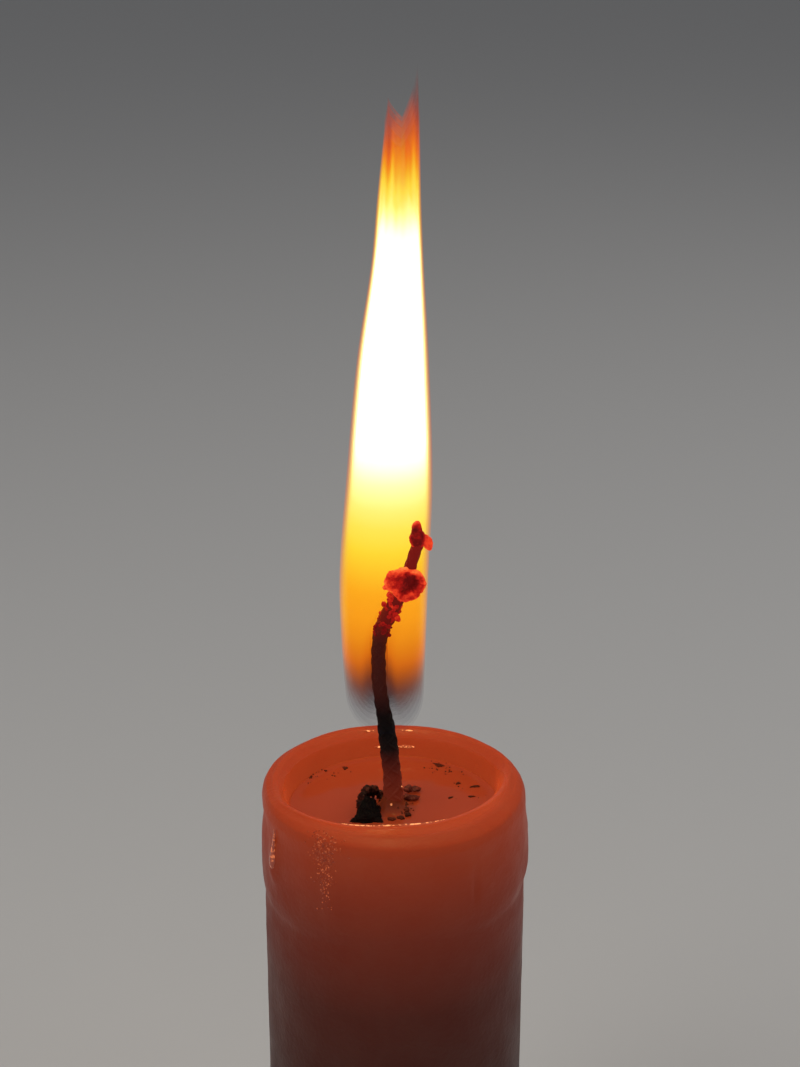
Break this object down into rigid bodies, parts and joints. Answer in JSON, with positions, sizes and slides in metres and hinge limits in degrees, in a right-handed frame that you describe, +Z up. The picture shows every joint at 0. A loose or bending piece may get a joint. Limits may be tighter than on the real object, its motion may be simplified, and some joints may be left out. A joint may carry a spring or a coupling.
{
  "type": "melted candle",
  "caption": "Lit, partly melted round household candle with a burnt cup, liquid wax pool, overflow collar, curled carbon-crusted wick and flame.",
  "frame": {"origin": "centre of the flat base", "axes": "+Z up along the candle, -Y towards the viewer's side, where the wick curls over"},
  "size_m": [0.0231, 0.023, 0.1215],
  "materials": {
    "wax": "satin translucent wax",
    "liquid_wax": "wet and glossy",
    "braid": "charred cotton braid",
    "carbon_crust": "glowing rough carbon crust",
    "char": "dull soot black",
    "char_fin": "wax-soaked char",
    "flame": "luminous flame, not a solid"
  },
  "bodies": {
    "root": {"wax_body": "wax", "molten_pool": "liquid_wax", "wick": "braid", "carbon_cap": "carbon_crust", "carbon_tip": "carbon_crust", "crust_nodule_left": "carbon_crust", "crust_nodule_upper": "carbon_crust", "crust_nodule_right": "carbon_crust", "char_lump": "char", "char_fin_front": "char_fin", "char_fin_back": "char_fin", "char_crumb": "char", "soot_flake_1": "char", "soot_flake_2": "char", "soot_flake_3": "char", "soot_flake_4": "char", "soot_flake_5": "char", "soot_flake_6": "char", "soot_flake_7": "char", "soot_flake_8": "char", "flame": "flame"}
  },
  "joints": []
}
